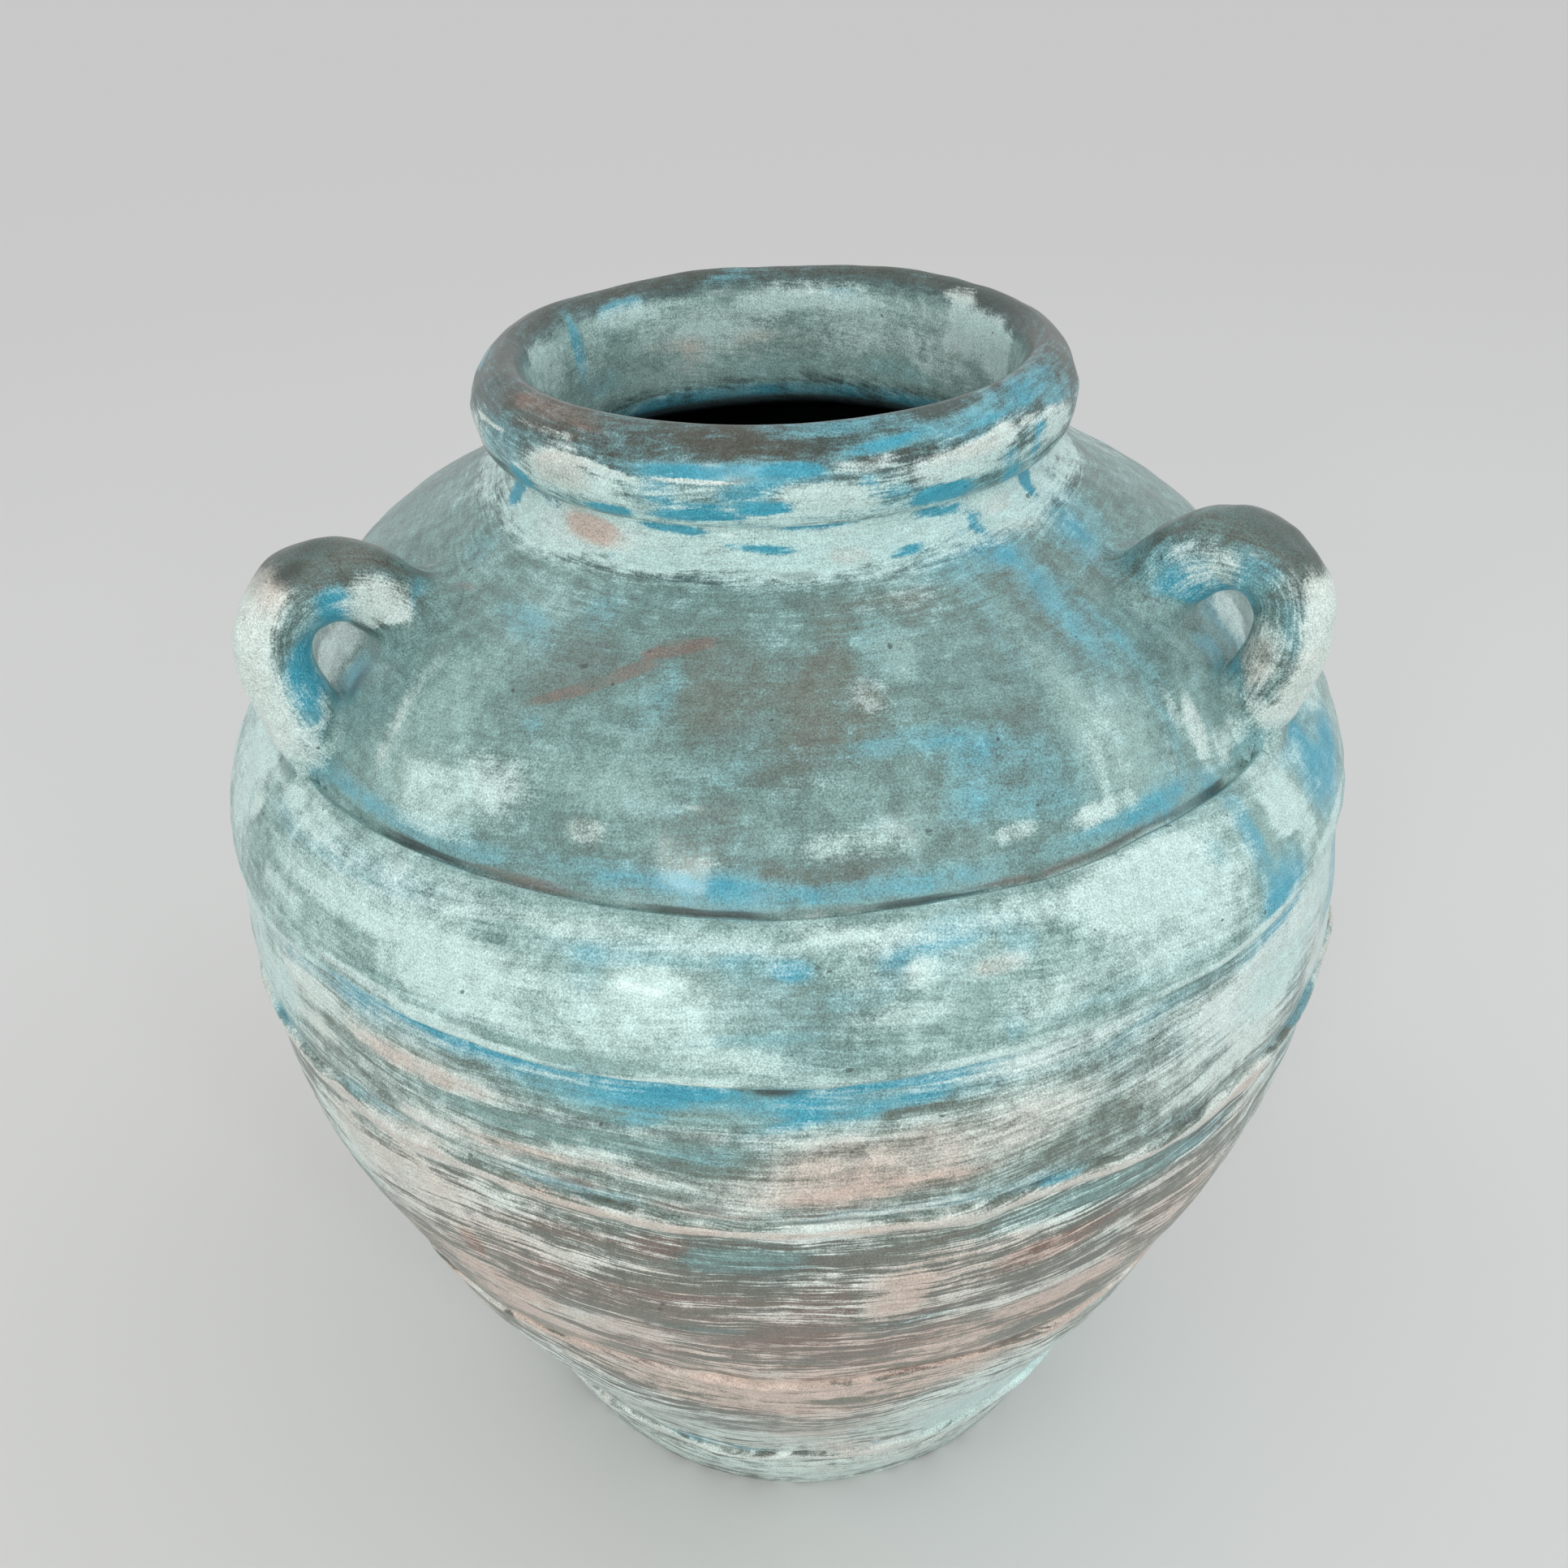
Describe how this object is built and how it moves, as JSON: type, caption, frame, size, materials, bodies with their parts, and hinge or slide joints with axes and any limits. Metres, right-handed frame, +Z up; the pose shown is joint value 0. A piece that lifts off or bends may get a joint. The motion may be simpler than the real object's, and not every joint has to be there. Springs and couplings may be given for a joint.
{
  "type": "pithos",
  "caption": "Wide-bellied clay storage jar with a flat foot, raised seam strips, a stepped belly band, a rolled rim and looped coil handles on its shoulder.",
  "frame": {"origin": "centre of the flat foot, on the surface that the jar stands on", "axes": "+Z up along the jar's wheel axis; -Y towards the viewer of the picture, +X to the viewer's right; the handles stand at 30 degrees below +X, 30 degrees below -X and on +Y"},
  "size_m": [0.5492, 0.5492, 0.6],
  "materials": {
    "upper_clay": "turquoise and grey-green layered wash, satin",
    "lower_clay": "taupe and pinkish white horizontal brush strokes, satin",
    "seam_clay": "rubbed pinkish white over brown, satin",
    "rim_clay": "grey-taupe wash with white and blue strokes, satin",
    "handle_clay": "blue wash with rubbed white highlights, satin",
    "base_clay": "dull brown fired clay"
  },
  "bodies": {
    "root": {"base_slab": "base_clay", "foot_ring": "lower_clay", "lower_wall": "lower_clay", "middle_wall": "lower_clay", "upper_wall": "upper_clay", "belly_band": "upper_clay", "shoulder_dome": "upper_clay", "neck_collar": "rim_clay", "rim_roll": "rim_clay", "foot_seam_strip": "seam_clay", "lower_seam_strip": "seam_clay", "middle_seam_strip": "seam_clay", "handle_left": "handle_clay", "handle_right": "handle_clay", "handle_back": "handle_clay"}
  },
  "joints": []
}
